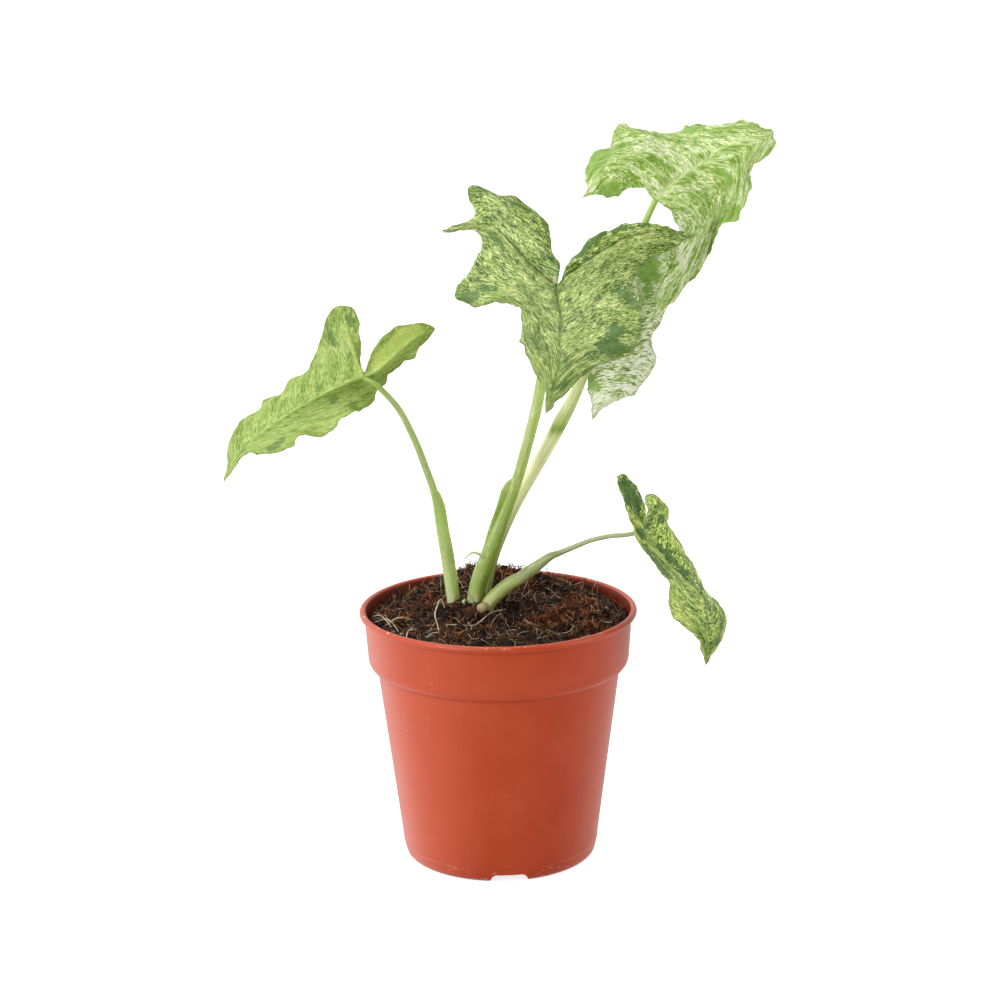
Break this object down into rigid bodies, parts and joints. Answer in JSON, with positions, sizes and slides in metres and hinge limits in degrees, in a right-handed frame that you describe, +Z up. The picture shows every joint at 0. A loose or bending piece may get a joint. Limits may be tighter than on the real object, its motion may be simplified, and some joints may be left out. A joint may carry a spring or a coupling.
{
  "type": "potted syngonium",
  "caption": "Young arrowhead vine with mottled, waved arrow-shaped leaves on arching stalks, growing in coir mix in a round tapered nursery pot with a stacking collar.",
  "frame": {"origin": "on the ground plane, at the middle of the whole plant's bounding box; the pot's axis stands 4 mm to its left, at x = -0.004 m", "axes": "+Z up along the pot's axis, -Y towards the front from which the picture is taken, +X to the right"},
  "size_m": [0.2386, 0.151, 0.3145],
  "materials": {
    "pot_plastic": "satin terracotta-coloured thin plastic with pale scuffs on the rim",
    "coir": "damp dark brown coir mix with paler fibres",
    "stalk_green": "smooth fresh green stalk, paler where the sheath wraps it",
    "blade_green": "soft satin leaf, yellow green to cream with dark green speckles along the veins"
  },
  "bodies": {
    "root": {"pot": "pot_plastic", "potting_mix": "coir", "stalk_left": "stalk_green", "stalk_front": "stalk_green", "stalk_rear": "stalk_green", "stalk_right": "stalk_green", "blade_left": "blade_green", "blade_front": "blade_green", "blade_top": "blade_green", "blade_back": "blade_green", "blade_right": "blade_green"}
  },
  "joints": []
}
